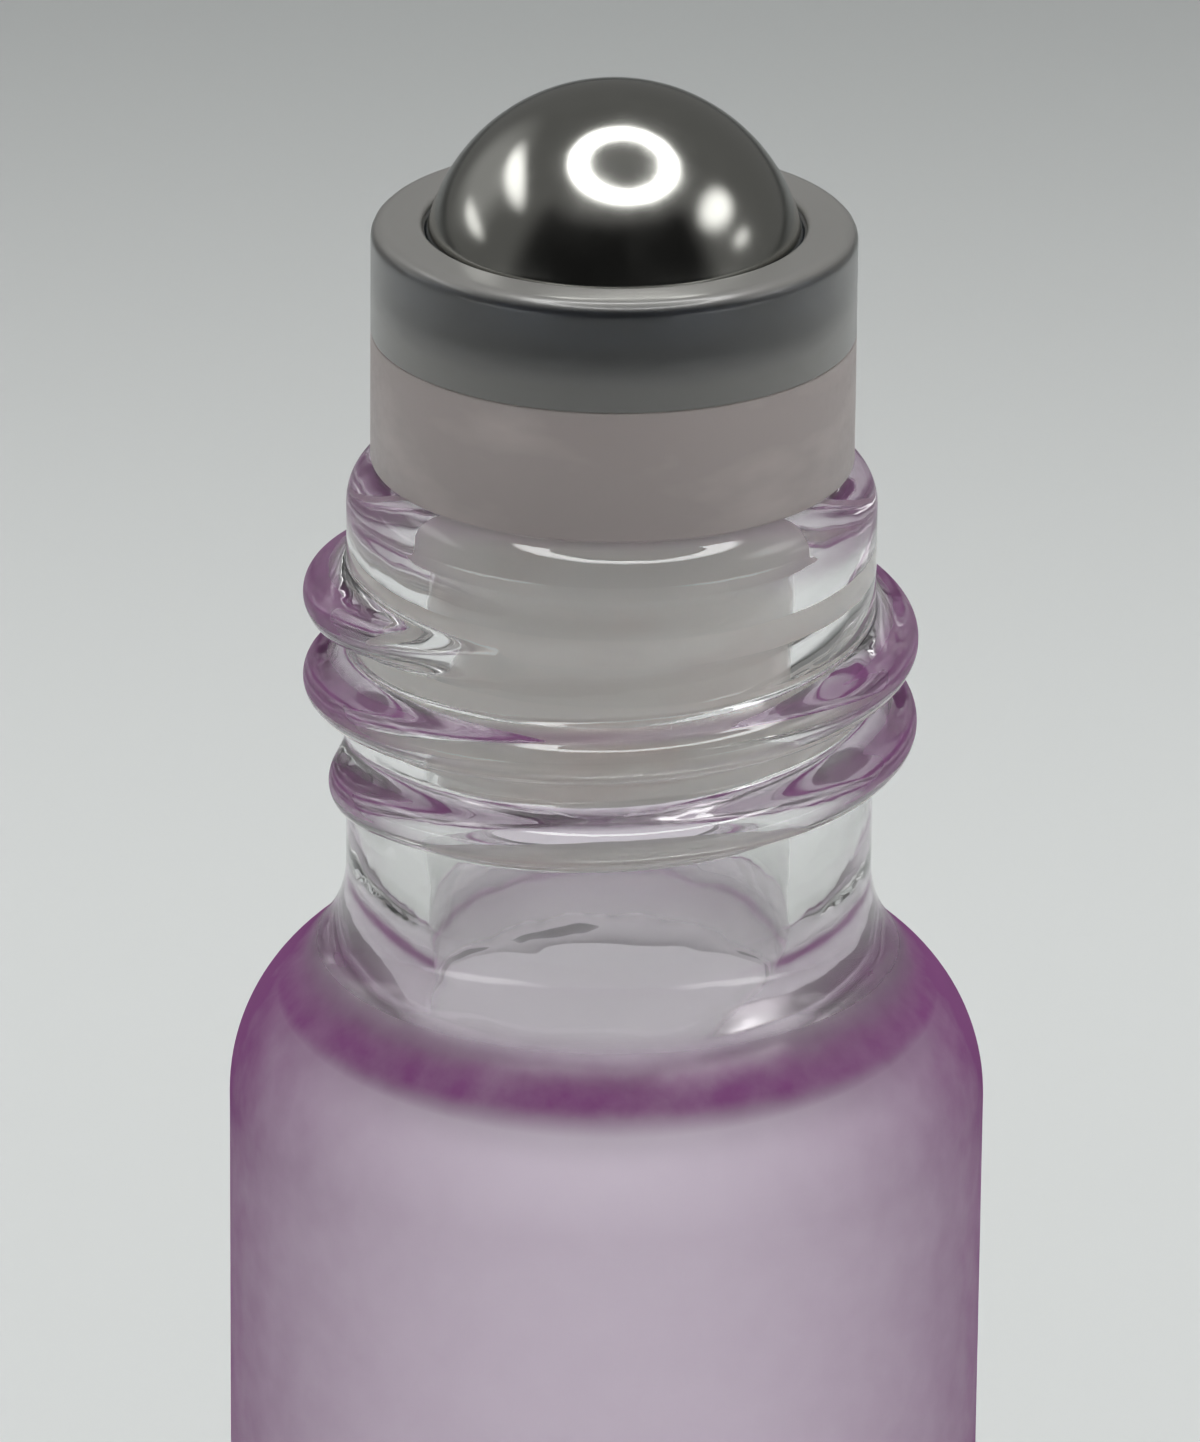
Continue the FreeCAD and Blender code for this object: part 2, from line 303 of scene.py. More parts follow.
def rounded(corners):
    """Closed profile from (radius, height, rounding) corners, with a point beside each end of an arc."""
    points = []
    count = len(corners)
    for index, (radius, height, rounding) in enumerate(corners):
        here = Vector((radius, height))
        if rounding == 0:
            points.append(tuple(here))
            continue
        to_last = (Vector(corners[index - 1][:2]) - here).normalized()
        to_next = (Vector(corners[(index + 1) % count][:2]) - here).normalized()
        half = to_last.angle(to_next) / 2
        reach = rounding / math.tan(half)
        centre = here + (to_last + to_next).normalized() * (rounding / math.sin(half))
        start = here + to_last * reach - centre
        end = here + to_next * reach - centre
        points.append(tuple(here + to_last * reach * BESIDE_ARC))
        for step in range(CORNER_STEPS + 1):
            spoke = start.lerp(end, step / CORNER_STEPS).normalized() * rounding
            points.append(tuple(centre + spoke))
        points.append(tuple(here + to_next * reach * BESIDE_ARC))
    return points


def shoulder_profile(radius, height, inward, first_radius, second_radius, steps):
    """Two tangent arcs that carry a wall upwards and inwards."""
    turn = math.degrees(math.acos(1 - inward / (first_radius + second_radius)))
    rise = (first_radius + second_radius) * math.sin(math.radians(turn))
    lower = arc((radius - first_radius, height), first_radius, 0, turn, steps)
    upper = arc((radius - inward + second_radius, height + rise), second_radius, 180 + turn, 180, steps)
    return lower + upper[1:]


def spin(name, profile, segments, closed, bulge=None):
    """Mesh of revolution about Z. A closed profile joins its ends, and bulge moves points outwards."""
    vertices = []
    faces = []
    rows = []
    for radius, height in profile:
        if radius < TOLERANCE:
            rows.append([len(vertices)] * segments)
            vertices.append((0, 0, height))
            continue
        rows.append(list(range(len(vertices), len(vertices) + segments)))
        for index in range(segments):
            angle = 2 * math.pi * index / segments
            reach = radius + (bulge(angle, radius, height) if bulge else 0)
            vertices.append((reach * math.cos(angle), reach * math.sin(angle), height))
    pairs = list(zip(rows, rows[1:]))
    if closed:
        pairs.append((rows[-1], rows[0]))
    for low, high in pairs:
        for index in range(segments):
            after = (index + 1) % segments
            corners = [low[index], low[after], high[after], high[index]]
            faces.append(list(dict.fromkeys(corners)))
    mesh = bpy.data.meshes.new(name)
    mesh.from_pydata(vertices, [], faces)
    mesh.validate()
    mesh.shade_smooth()
    piece = bpy.data.objects.new(name, mesh)
    bpy.context.scene.collection.objects.link(piece)
    return piece


def ease(share):
    """Share from 0 to 1 with a soft start and stop."""
    return share * share * (3 - 2 * share)


def ridge_section(offset):
    """Height of the ridge, with a round crest and straight flanks, at an offset from its middle."""
    flank = math.radians(THREAD_FLANK_ANGLE)
    tangent = THREAD_CREST_RADIUS * math.cos(flank)
    middle = THREAD_HEIGHT - THREAD_CREST_RADIUS
    if offset < tangent:
        return middle + math.sqrt(THREAD_CREST_RADIUS**2 - offset**2)
    return middle + THREAD_CREST_RADIUS * math.sin(flank) - (offset - tangent) / math.tan(flank)


def thread_bulge(angle, height):
    """How far the thread ridge stands out of the neck at an angle and height, with a rounded root."""
    most = -THREAD_HEIGHT
    total = 360 * THREAD_TURNS
    first_down = (THREAD_UPPER_END_ANGLE - math.degrees(angle)) % 360
    for turn in range(math.ceil(THREAD_TURNS) + 1):
        down = first_down + 360 * turn
        if down > total:
            break
        share = min(1.0, min(down, total - down) / THREAD_RUN_OUT)
        sink = THREAD_HEIGHT * (1 - ease(share))
        middle = LIP_TOP - THREAD_BELOW_LIP - THREAD_PITCH * down / 360
        most = max(most, ridge_section(abs(height - middle)) - sink)
    root = max(0.0, THREAD_ROOT_ROUNDING - abs(most))
    return max(0.0, most) + root**2 / (4 * THREAD_ROOT_ROUNDING)


def bore_wave(angle, height):
    """Offset of the uneven lower end of the neck bore, as moulded glass has it."""
    rise = height - INNER_CEILING
    if rise < -TOLERANCE or rise > BORE_WAVE_REACH:
        return 0
    wave = sum(share * math.sin(count * angle + phase) for count, share, phase in BORE_WAVES)
    return BORE_WAVE_DEPTH * wave * (1 - rise / BORE_WAVE_REACH) ** 2


def glass_relief(angle, radius, height):
    """Offset of the glass from its round profile: the uneven bore inside, or else the thread outside."""
    if radius < NECK_RADIUS - TOLERANCE:
        return bore_wave(angle, height)
    return thread_bulge(angle, height)


def outer_glass_profile():
    """Outside of the bottle, from the middle of the base to the top of the lip."""
    push_up_sphere = (PUSH_UP_RADIUS**2 + PUSH_UP_DEPTH**2) / (2 * PUSH_UP_DEPTH)
    push_up_angle = math.degrees(math.asin(PUSH_UP_RADIUS / push_up_sphere))
    push_up_centre = (0, PUSH_UP_DEPTH - push_up_sphere)
    heel_centre = (BODY_RADIUS - HEEL_RADIUS, HEEL_RADIUS)
    lip_centre = (NECK_RADIUS - LIP_RADIUS, LIP_TOP - LIP_RADIUS)
    inward = BODY_RADIUS - NECK_RADIUS
    shoulder = shoulder_profile(
        BODY_RADIUS, BODY_HEIGHT, inward, SHOULDER_RADIUS, NECK_FILLET_RADIUS, SHOULDER_STEPS
    )
    profile = arc(push_up_centre, push_up_sphere, 90, 90 - push_up_angle, PUSH_UP_STEPS)
    profile += straight((PUSH_UP_RADIUS, 0), (heel_centre[0], 0), BASE_ROWS)
    profile += arc(heel_centre, HEEL_RADIUS, -90, 0, OUTER_STEPS)
    profile += straight((BODY_RADIUS, HEEL_RADIUS), (BODY_RADIUS, BODY_HEIGHT), BODY_ROWS)
    profile += shoulder
    profile += straight(shoulder[-1], (NECK_RADIUS, lip_centre[1]), NECK_ROWS)
    profile += arc(lip_centre, LIP_RADIUS, 0, 90, OUTER_STEPS)
    return profile


def inner_glass_profile():
    """Inside of the bottle, from the lip down to the middle of the floor."""
    wall = BODY_RADIUS - SIDE_WALL
    floor_radius = wall - INNER_HEEL_RADIUS
    floor_sphere = (floor_radius**2 + PUSH_UP_DEPTH**2) / (2 * PUSH_UP_DEPTH)
    floor_angle = math.degrees(math.asin(floor_radius / floor_sphere))
    floor_centre = (0, BASE_THICKNESS + PUSH_UP_DEPTH - floor_sphere)
    heel_centre = (floor_radius, BASE_THICKNESS + INNER_HEEL_RADIUS)
    mouth = (BORE_RADIUS + MOUTH_RADIUS, LIP_TOP - MOUTH_RADIUS)
    rim = (BORE_RADIUS + INNER_NECK_RADIUS, INNER_CEILING + INNER_NECK_RADIUS)
    corner = (wall - INNER_SHOULDER_RADIUS, INNER_CEILING - INNER_SHOULDER_RADIUS)
    shoulder = arc(rim, INNER_NECK_RADIUS, 180, 270, INNER_STEPS)
    shoulder += straight(shoulder[-1], (corner[0], INNER_CEILING), CEILING_ROWS)
    shoulder += arc(corner, INNER_SHOULDER_RADIUS, 90, 0, INNER_STEPS)
    profile = arc(mouth, MOUTH_RADIUS, 90, 180, MOUTH_STEPS)
    profile += straight(profile[-1], shoulder[0], INNER_ROWS)
    profile += shoulder
    profile += straight(shoulder[-1], (wall, heel_centre[1]), INNER_ROWS)
    profile += arc(heel_centre, INNER_HEEL_RADIUS, 0, -90, INNER_STEPS)
    profile += arc(floor_centre, floor_sphere, 90 - floor_angle, 90, INNER_BASE_STEPS)[1:]
    return profile


def make_glass():
    """Bottle as one closed glass wall, whose points know whether they are outside or inside."""
    outside = outer_glass_profile()
    inside = inner_glass_profile()
    piece = spin("bottle_glass", outside + inside, GLASS_SEGMENTS, False, glass_relief)
    side = piece.data.attributes.new(OUTSIDE, "FLOAT", "POINT")
    # The profile's first point lies on the axis, so it is a single vertex
    outside_count = 1 + (len(outside) - 1) * GLASS_SEGMENTS
    for index in range(outside_count):
        side.data[index].value = 1.0
    return piece


def socket_points(low, high, steps):
    """Profile of the ball's socket between two heights, going up."""
    first = math.degrees(math.asin((low - BALL_CENTRE) / SOCKET_RADIUS))
    last = math.degrees(math.asin((high - BALL_CENTRE) / SOCKET_RADIUS))
    return arc((0, BALL_CENTRE), SOCKET_RADIUS, first, last, steps)


def make_ring():
    """Upper ring of the fitment, whose inward lip holds the ball."""
    ceiling = SPIGOT_TOP + SNAP_CLEARANCE
    skirt = SPIGOT_RADIUS + SNAP_CLEARANCE
    socket = socket_points(ceiling, RIM - LIP_EDGE_CHAMFER, RING_SOCKET_STEPS)
    lip_radius = socket[-1][0]
    corners = [
        (skirt, ceiling, 0),
        (skirt, SEAM, SKIRT_ROUNDING),
        (COLLAR_RADIUS, SEAM, SEAM_ROUNDING),
        (COLLAR_RADIUS, RIM, RIM_ROUNDING),
        (lip_radius, RIM, EDGE_ROUNDING),
    ]
    profile = rounded(corners) + socket[::-1]
    return spin("retainer_ring", profile, FITMENT_SEGMENTS, True)


def seal_rib(height):
    """Profile of a rounded rib on the stem, going down."""
    points = []
    for step in range(RIB_STEPS + 1):
        share = 2 * step / RIB_STEPS - 1
        reach = (SEAL_RIB_RADIUS - STEM_RADIUS) * (1 - share**2)
        points.append((STEM_RADIUS + reach, height - share * SEAL_RIB_HALF_HEIGHT))
    return points


def make_plug():
    """Lower piece of the fitment: socket cup, collar and ribbed stem."""
    seat = BALL_CENTRE - math.sqrt(SOCKET_RADIUS**2 - FEED_RADIUS**2)
    seam_edge = (COLLAR_RADIUS - SEAM_ROUNDING, SEAM - SEAM_ROUNDING)
    collar_edge = (COLLAR_RADIUS - EDGE_ROUNDING, LIP_TOP + EDGE_ROUNDING)
    profile = socket_points(seat, SPIGOT_TOP, CUP_STEPS)
    profile += [(SPIGOT_RADIUS, SPIGOT_TOP), (SPIGOT_RADIUS, SEAM)]
    profile += arc(seam_edge, SEAM_ROUNDING, 90, 0, SEAM_STEPS)
    profile += arc(collar_edge, EDGE_ROUNDING, 0, -90, COLLAR_STEPS)
    profile += [(STEM_RADIUS, LIP_TOP)]
    for index in range(SEAL_RIB_COUNT):
        profile += seal_rib(LIP_TOP - SEAL_RIB_BELOW_LIP - SEAL_RIB_PITCH * index)
    profile += [(STEM_RADIUS, STEM_TIP + STEM_TIP_HEIGHT)]
    profile += [(STEM_RADIUS - STEM_TIP_TAPER, STEM_TIP), (FEED_RADIUS, STEM_TIP)]
    return spin("plug_housing", profile, FITMENT_SEGMENTS, True)


def make_ball():
    """Ball of the fitment."""
    profile = arc((0, BALL_CENTRE), BALL_RADIUS, -90, 90, BALL_STEPS)
    return spin("steel_ball", profile, FITMENT_SEGMENTS, False)


def add(tree, kind, inputs=None, **settings):
    """New shader node with settings and input values by name."""
    made = tree.nodes.new("ShaderNode" + kind)
    for name, value in settings.items():
        setattr(made, name, value)
    for name, value in (inputs or {}).items():
        made.inputs[name].default_value = value
    return made


def new_material(name, values):
    """A material with a Principled shader that has the given input values."""
    material = bpy.data.materials.new(name)
    material.use_nodes = True
    tree = material.node_tree
    shader = tree.nodes["Principled BSDF"]
    for key, value in values.items():
        shader.inputs[key].default_value = value
    return material, tree, shader


def set_surface(tree, shader):
    """Makes a shader node the surface of its material."""
    tree.links.new(shader.outputs[0], tree.nodes["Material Output"].inputs["Surface"])


def map_range(tree, value, span, ends, curve="LINEAR"):
    """Output socket that goes from one end to the other while a value crosses a span."""
    limits = {"From Min": span[0], "From Max": span[1], "To Min": ends[0], "To Max": ends[1]}
    ramp = add(tree, "MapRange", limits, interpolation_type=curve)
    tree.links.new(value, ramp.inputs["Value"])
    return ramp.outputs["Result"]


def fade(tree, value, span, ends=(0, 1)):
    """As map_range, with a soft start and stop."""
    return map_range(tree, value, span, ends, "SMOOTHSTEP")


def mix_colours(tree, factor, first, second):
    """Output socket that goes from the first colour, or colour socket, to the second with a factor."""
    mix = add(tree, "Mix", data_type="RGBA")
    if isinstance(first, tuple):
        mix.inputs["A"].default_value = (*first, 1)
    else:
        tree.links.new(first, mix.inputs["A"])
    mix.inputs["B"].default_value = (*second, 1)
    tree.links.new(factor, mix.inputs["Factor"])
    return mix.outputs["Result"]


def combine(tree, operation, first, second):
    """Output socket of a math operation on two sockets, or on a socket and a number."""
    result = add(tree, "Math", operation=operation)
    tree.links.new(first, result.inputs[0])
    if isinstance(second, float):
        result.inputs[1].default_value = second
    else:
        tree.links.new(second, result.inputs[1])
    return result.outputs["Value"]


def product(tree, first, *others):
    """Output socket of a socket multiplied by other sockets or numbers."""
    result = first
    for other in others:
        result = combine(tree, "MULTIPLY", result, other)
    return result


def choose(tree, factor, first, second):
    """Output socket that goes from the first value to the second with a factor."""
    mix = add(tree, "Mix", data_type="FLOAT")
    tree.links.new(factor, mix.inputs["Factor"])
    tree.links.new(first, mix.inputs["A"])
    tree.links.new(second, mix.inputs["B"])
    return mix.outputs["Result"]


def mix_shaders(tree, factor, first, second):
    """Mix of two shader nodes. The factor is a number or a socket."""
    mix = add(tree, "MixShader")
    if isinstance(factor, float):
        mix.inputs["Fac"].default_value = factor
    else:
        tree.links.new(factor, mix.inputs["Fac"])
    tree.links.new(first.outputs[0], mix.inputs[1])
    tree.links.new(second.outputs[0], mix.inputs[2])
    return mix


def part(tree, vector, axis):
    """Output socket with the X, Y or Z part of a vector socket."""
    split = add(tree, "SeparateXYZ")
    tree.links.new(vector, split.inputs[0])
    return split.outputs[axis]


def length(tree, vector):
    """Output socket with the length of a vector socket."""
    result = add(tree, "VectorMath", operation="LENGTH")
    tree.links.new(vector, result.inputs[0])
    return result.outputs["Value"]


def level(tree, vector):
    """Output socket with a vector socket laid flat."""
    flat = add(tree, "VectorMath", operation="MULTIPLY")
    flat.inputs[1].default_value = (1, 1, 0)
    tree.links.new(vector, flat.inputs[0])
    return flat.outputs[0]


def object_place(tree):
    """Output socket with the place on the object."""
    return add(tree, "TexCoord").outputs["Object"]


def scaled(tree, vector, scale):
    """Output socket with a vector socket scaled along each axis."""
    mapping = add(tree, "Mapping", {"Scale": scale})
    tree.links.new(vector, mapping.inputs["Vector"])
    return mapping.outputs["Vector"]


def slant_of(tree):
    """Output socket that goes from 0 where the surface is seen face on to 1 where it is seen edge on."""
    return add(tree, "LayerWeight").outputs["Facing"]


def noise(tree, scale, detail=PLAIN_DETAIL, stretch=(1, 1, 1)):
    """Output socket of a noise texture that is fixed to the object."""
    texture = add(tree, "TexNoise", {"Scale": scale, "Detail": detail})
    tree.links.new(scaled(tree, object_place(tree), stretch), texture.inputs["Vector"])
    return texture.outputs["Fac"]


def bump(tree, shader, height, strength, distance):
    """Gives the shader a bump from a height socket."""
    made = add(tree, "Bump", {"Strength": strength, "Distance": distance})
    tree.links.new(height, made.inputs["Height"])
    tree.links.new(made.outputs["Normal"], shader.inputs["Normal"])


def glass_tint(tree, height, coat):
    """Tint of the glass by height, with painted shade in the low neck and painted light in the upper neck,
    and of the coat where it is present.
    """
    # Painted shade greys the low neck; painted light clears the upper neck so the stem behind it shows
    # brighter
    low_neck_shade = fade(tree, height, LOW_NECK_SHADE_STARTS)
    upper_neck_light = fade(tree, height, UPPER_NECK_LIGHT_STARTS)
    tint_with_shade = mix_colours(tree, low_neck_shade, GLASS_TINT, LOW_NECK_PAINTED_SHADE)
    tint_with_light_and_shade = mix_colours(tree, upper_neck_light, tint_with_shade, UPPER_NECK_PAINTED_LIGHT)
    return mix_colours(tree, coat, tint_with_light_and_shade, COAT_TINT)


def lilac_lacquer(tree):
    """Lilac layer that throws part of the light back and lets the rest through."""
    reflecting = add(tree, "BsdfDiffuse", {"Color": (*COAT_COLOUR, 1)})
    passing = add(tree, "BsdfTranslucent", {"Color": (*COAT_COLOUR, 1)})
    return mix_shaders(tree, COAT_PASSING, reflecting, passing)


def coat_cover(tree, height, slant, coat):
    """Cover of the coat on the body and the shoulder, from outside; its rise on the shoulder is partly coat
    and partly painted shade.
    """
    # Partly painted shade: the thicker cover on the shoulder darkens its band
    thick = fade(tree, height, COAT_SHOULDER_SHADE_RISES, (0, COAT_SHOULDER_COVER_AND_SHADE))
    slant_cover = fade(tree, height, COAT_SLANT_RISES, COAT_SLANT_COVER)
    thin = combine(tree, "ADD", product(tree, slant, slant_cover), COAT_COVER)
    return product(tree, combine(tree, "MAXIMUM", thin, thick), coat)


def painted_reflection_cover(tree, height, slant, normal, outside):
    """Cover of the painted reflection, lilac lacquer on the ridges' upper sides and on the lip in place of
    the coat that the glass reflects there, from outside.
    """
    ridge = fade(tree, length(tree, level(tree, object_place(tree))), RIDGE_REFLECTION_RADII, (0, RIDGE_REFLECTION_COVER))
    lip = fade(tree, height, LIP_REFLECTION_HEIGHTS, (0, LIP_REFLECTION_COVER))
    carrier = combine(tree, "MAXIMUM", ridge, lip)
    above_frost = fade(tree, height, FROST_FADES)
    upper_side = fade(tree, part(tree, normal, "Z"), PAINTED_REFLECTION_TILT)
    return product(tree, carrier, above_frost, outside, upper_side, fade(tree, slant, PAINTED_REFLECTION_SLANT))


def inner_coat_cover(tree, height, slant, coat):
    """Cover of the coat from within the glass."""
    steep = fade(tree, slant, COAT_INNER_SLANT)
    thick = fade(tree, height, COAT_INNER_RISES, (0, COAT_INNER_COVER))
    return product(tree, steep, thick, coat)


def lacquer_cover(tree, height, outside, coat):
    """Cover of the lilac lacquer, with its painted reflection on the ridges and the lip, mottled, on
    whichever side of the surface the light meets.
    """
    slant = slant_of(tree)
    geometry = add(tree, "NewGeometry")
    # Painted reflection of the lilac coat on the ridges and the lip
    painted_reflection = painted_reflection_cover(tree, height, slant, geometry.outputs["Normal"], outside)
    from_outside = combine(tree, "MAXIMUM", coat_cover(tree, height, slant, coat), painted_reflection)
    from_within = inner_coat_cover(tree, height, slant, coat)
    cover = choose(tree, geometry.outputs["Backfacing"], from_outside, from_within)
    mottle = map_range(tree, noise(tree, MOTTLE_SCALE, MOTTLE_DETAIL), NOISE_SPAN, MOTTLE_COVER)
    return product(tree, cover, mottle)


def coated_glass():
    """Clear glass whose body carries a frosted lilac coat on its outside that fades out under the neck."""
    material, tree, glass = new_material("coated_glass", {"Transmission Weight": 1.0, "IOR": GLASS_IOR})
    height = part(tree, object_place(tree), "Z")
    outside = add(tree, "Attribute", attribute_name=OUTSIDE).outputs["Fac"]
    coat = product(tree, fade(tree, height, COAT_FADES, (1, 0)), outside)
    frost = product(tree, fade(tree, height, FROST_FADES, (FROST_ROUGHNESS, 0)), outside)
    tree.links.new(frost, glass.inputs["Roughness"])
    tree.links.new(glass_tint(tree, height, coat), glass.inputs["Base Color"])
    bump(tree, glass, noise(tree, RIPPLE_SCALE), RIPPLE_STRENGTH, RIPPLE_DEPTH)
    cover = lacquer_cover(tree, height, outside, coat)
    set_surface(tree, mix_shaders(tree, cover, glass, lilac_lacquer(tree)))
    values = {"Color": (*ABSORPTION_COLOUR, 1), "Density": ABSORPTION_DENSITY}
    absorption = add(tree, "VolumeAbsorption", values)
    tree.links.new(absorption.outputs[0], tree.nodes["Material Output"].inputs["Volume"])
    return material


def haze_share(tree):
    """Share of the milky haze in the smoky ring."""
    height = part(tree, object_place(tree), "Z")
    # Painted light: the top is made milkier and paler where the overhead light falls
    top = fade(tree, height, HAZE_TOP_PAINTED_LIGHT, HAZE_TOP_LIGHT_SHARE)
    foot = fade(tree, height, HAZE_FOOT, HAZE_FOOT_SHARE)
    slanted = product(tree, slant_of(tree), HAZE_SLANT_SHARE)
    return combine(tree, "ADD", combine(tree, "ADD", top, foot), slanted)


def smoky_plastic():
    """Smoky plastic that is clear enough to show the dark ball, and milkier at a slant and on its top, where
    the milkier top is painted light.
    """
    gloss = {"Coat Weight": SMOKY_GLOSS, "Coat Roughness": SMOKY_GLOSS_ROUGHNESS}
    values = {"Base Color": (*SMOKY_COLOUR, 1), "Transmission Weight": 1.0, "IOR": SMOKY_IOR, **gloss}
    material, tree, clear = new_material("smoky_plastic", values)
    cloud = noise(tree, SMOKY_CLOUD_SCALE, PLASTIC_DETAIL)
    tree.links.new(map_range(tree, cloud, NOISE_SPAN, SMOKY_ROUGHNESS), clear.inputs["Roughness"])
    milky = add(tree, "BsdfPrincipled", {"Roughness": HAZE_ROUGHNESS, **gloss})
    tree.links.new(mix_colours(tree, cloud, HAZE_DARK, HAZE_PALE), milky.inputs["Base Color"])
    set_surface(tree, mix_shaders(tree, haze_share(tree), clear, milky))
    return material


def milky_plastic():
    """Pale satin plastic with faint clouds, brightened on the stem as painted light and deeper round the
    collar as painted shade, where the ball stands behind it.
    """
    values = {
        "Subsurface Weight": SCATTER_WEIGHT,
        "Subsurface Radius": SCATTER_RADIUS,
        "Subsurface Scale": SCATTER_SCALE,
    }
    material, tree, shader = new_material("milky_plastic", values)
    # Painted shade: the collar is darker than the stem, and the stem is paler as painted light
    depth = fade(tree, part(tree, object_place(tree), "Z"), COLLAR_SHADE_DEEPENS)
    cloud = noise(tree, MILKY_CLOUD_SCALE, PLASTIC_DETAIL, MILKY_CLOUD_STRETCH)
    shade = combine(tree, "ADD", depth, map_range(tree, cloud, NOISE_SPAN, MILKY_CLOUD_SHADE))
    tree.links.new(mix_colours(tree, shade, STEM_PAINTED_LIGHT_COLOUR, COLLAR_PAINTED_SHADE_COLOUR), shader.inputs["Base Color"])
    grain = noise(tree, GRAIN_SCALE, PLASTIC_DETAIL)
    tree.links.new(map_range(tree, grain, NOISE_SPAN, MILKY_ROUGHNESS), shader.inputs["Roughness"])
    bump(tree, shader, grain, GRAIN_STRENGTH, GRAIN_DEPTH)
    return material


def polished_steel():
    """Polished steel whose gloss varies with faint wipe marks."""
    values = {"Base Color": (*STEEL_COLOUR, 1), "Metallic": 1.0}
    material, tree, shader = new_material("polished_steel", values)
    wipes = noise(tree, WIPE_SCALE, WIPE_DETAIL, WIPE_STRETCH)
    tree.links.new(map_range(tree, wipes, WIPE_SPAN, STEEL_ROUGHNESS), shader.inputs["Roughness"])
    bump(tree, shader, noise(tree, POLISH_SCALE), POLISH_STRENGTH, POLISH_DEPTH)
    return material


def place(piece, node, body, material):
    """Puts a piece on its body in place of a CAD node."""
    piece.data.materials.append(material)
    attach(piece, body)
    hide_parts(node)


def make_floor():
    """Pale round floor with painted shade that darkens it behind the bottle."""
    floor = spin("floor", [(radius, 0) for radius in FLOOR_RADII], STAGE_SEGMENTS, False)
    material, tree, shader = new_material("pale_floor", {"Roughness": FLOOR_ROUGHNESS})
    # Painted shade: the floor's colour darkens with distance behind the bottle
    share = fade(tree, part(tree, object_place(tree), "Y"), FLOOR_SHADE_FADES)
    tree.links.new(mix_colours(tree, share, FLOOR_NEAR, FLOOR_PAINTED_SHADE), shader.inputs["Base Color"])
    floor.data.materials.append(material)


def glowing(name, strength, reach, span):
    """Clear glow, full in the middle of a shape with half-sizes reach, that fades out over a share of it."""
    material = bpy.data.materials.new(name)
    material.use_nodes = True
    tree = material.node_tree
    tree.nodes.clear()
    share = length(tree, scaled(tree, object_place(tree), (1 / reach[0], 1 / reach[1], 1)))
    glow = add(tree, "Emission")
    tree.links.new(fade(tree, share, span, (strength, 0)), glow.inputs["Strength"])
    both = add(tree, "AddShader")
    tree.links.new(glow.outputs[0], both.inputs[0])
    tree.links.new(add(tree, "BsdfTransparent").outputs[0], both.inputs[1])
    add(tree, "OutputMaterial", name="Material Output")
    set_surface(tree, both)
    return material


def make_ring_light():
    """Round soft light overhead with a dark middle."""
    ring = spin("ring_light", [(RING_LIGHT_INNER, 0), (RING_LIGHT_OUTER, 0)], STAGE_SEGMENTS, False)
    ring.location = RING_LIGHT_PLACE
    reach = (RING_LIGHT_OUTER, RING_LIGHT_OUTER)
    ring.data.materials.append(glowing("ring_glow", RING_LIGHT_STRENGTH, reach, RING_LIGHT_FADES))


def make_panel(name, direction, width, height, strength):
    """Glowing panel with soft edges that faces the bottle from a direction."""
    side = width / 2
    top = height / 2
    corners = [(-side, -top, 0), (side, -top, 0), (side, top, 0), (-side, top, 0)]
    mesh = bpy.data.meshes.new(name)
    mesh.from_pydata(corners, [], [(0, 1, 2, 3)])
    mesh.materials.append(glowing(name + "_glow", strength, (side, top), PANEL_FADES))
    panel = bpy.data.objects.new(name, mesh)
    toward = Vector(direction).normalized()
    panel.location = AIM + toward * PANEL_DISTANCE
    panel.rotation_mode = "QUATERNION"
    panel.rotation_quaternion = toward.to_track_quat("Z", "Y")
    bpy.context.scene.collection.objects.link(panel)


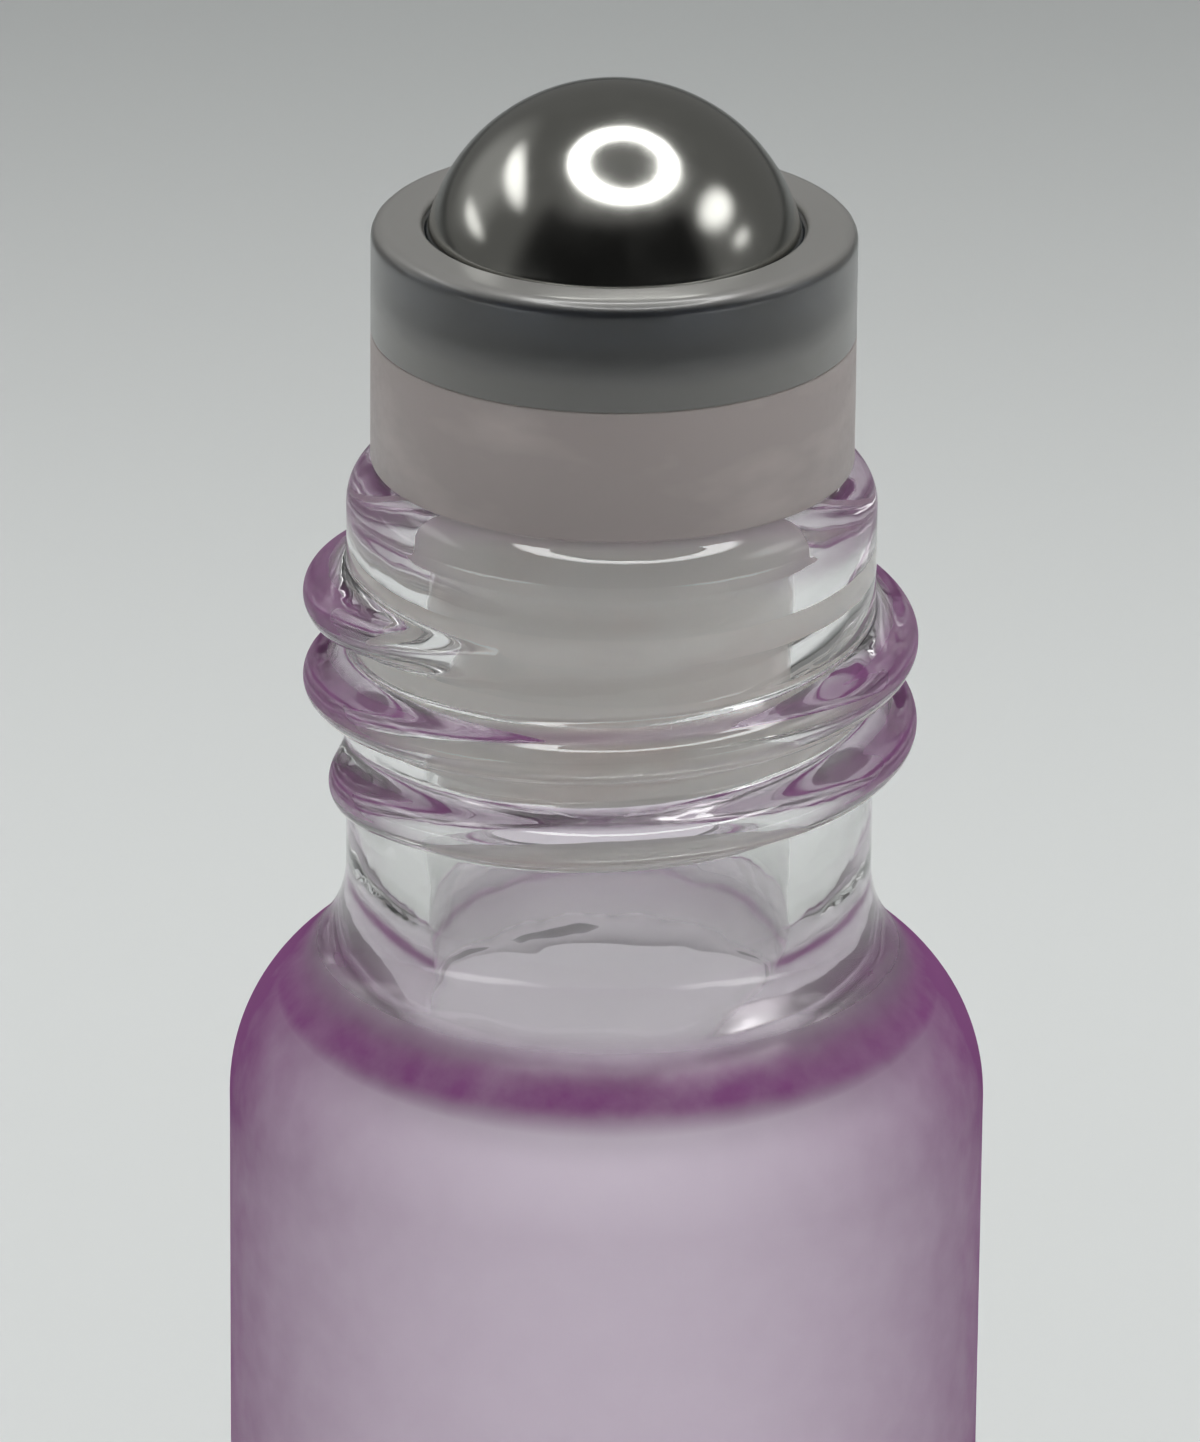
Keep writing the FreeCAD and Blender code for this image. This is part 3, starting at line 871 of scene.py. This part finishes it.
def make_world():
    """Dim grey surroundings that are dark in front of the bottle up to a height."""
    world = bpy.data.worlds.new("studio")
    world.use_nodes = True
    bpy.context.scene.world = world
    tree = world.node_tree
    direction = add(tree, "TexCoord").outputs["Generated"]
    bearing = add(tree, "VectorMath", operation="NORMALIZE")
    tree.links.new(level(tree, direction), bearing.inputs[0])
    facing = add(tree, "VectorMath", operation="DOT_PRODUCT")
    facing.inputs[1].default_value = FRONT
    tree.links.new(bearing.outputs[0], facing.inputs[0])
    ahead = fade(tree, facing.outputs["Value"], DARK_WIDTH)
    below = fade(tree, part(tree, direction, "Z"), DARK_HEIGHT, (1, 0))
    colour = mix_colours(tree, product(tree, ahead, below), WORLD_GREY, WORLD_DARK)
    tree.links.new(colour, tree.nodes["Background"].inputs["Color"])


def make_camera():
    """Camera that looks down at the neck from the photograph's angle."""
    lens = bpy.data.cameras.new("camera")
    lens.sensor_width = SENSOR
    lens.lens = FOCAL_PIXELS * SENSOR / IMAGE_HEIGHT
    lens.clip_start = CAMERA_NEAR
    lens.clip_end = CAMERA_FAR
    camera = bpy.data.objects.new("camera", lens)
    back = Vector((0, -math.cos(CAMERA_ELEVATION), math.sin(CAMERA_ELEVATION)))
    camera.location = AIM + back * CAMERA_DISTANCE
    camera.rotation_mode = "QUATERNION"
    upright = back.to_track_quat("Z", "Y")
    camera.rotation_quaternion = upright @ Matrix.Rotation(CAMERA_ROLL, 3, "Z").to_quaternion()
    bpy.context.scene.collection.objects.link(camera)
    bpy.context.scene.camera = camera


def set_light_bounces(scene):
    """Lets light bounce often enough in the glass."""
    scene.cycles.max_bounces = LIGHT_BOUNCES
    scene.cycles.diffuse_bounces = LIGHT_BOUNCES
    scene.cycles.glossy_bounces = LIGHT_BOUNCES
    scene.cycles.transmission_bounces = LIGHT_BOUNCES


def main():
    """Dresses the bottle, then sets up the studio round it."""
    place(make_glass(), "glass_bottle", "bottle", coated_glass())
    place(make_plug(), "roller_plug", "fitment", milky_plastic())
    place(make_ring(), "ball_retainer", "fitment", smoky_plastic())
    place(make_ball(), "roller_ball", "ball", polished_steel())
    make_floor()
    make_ring_light()
    for name, direction, width, height, strength in PANELS:
        make_panel(name, direction, width, height, strength)
    make_world()
    make_camera()
    scene = bpy.context.scene
    scene.view_settings.view_transform = "Standard"
    set_light_bounces(scene)


main()
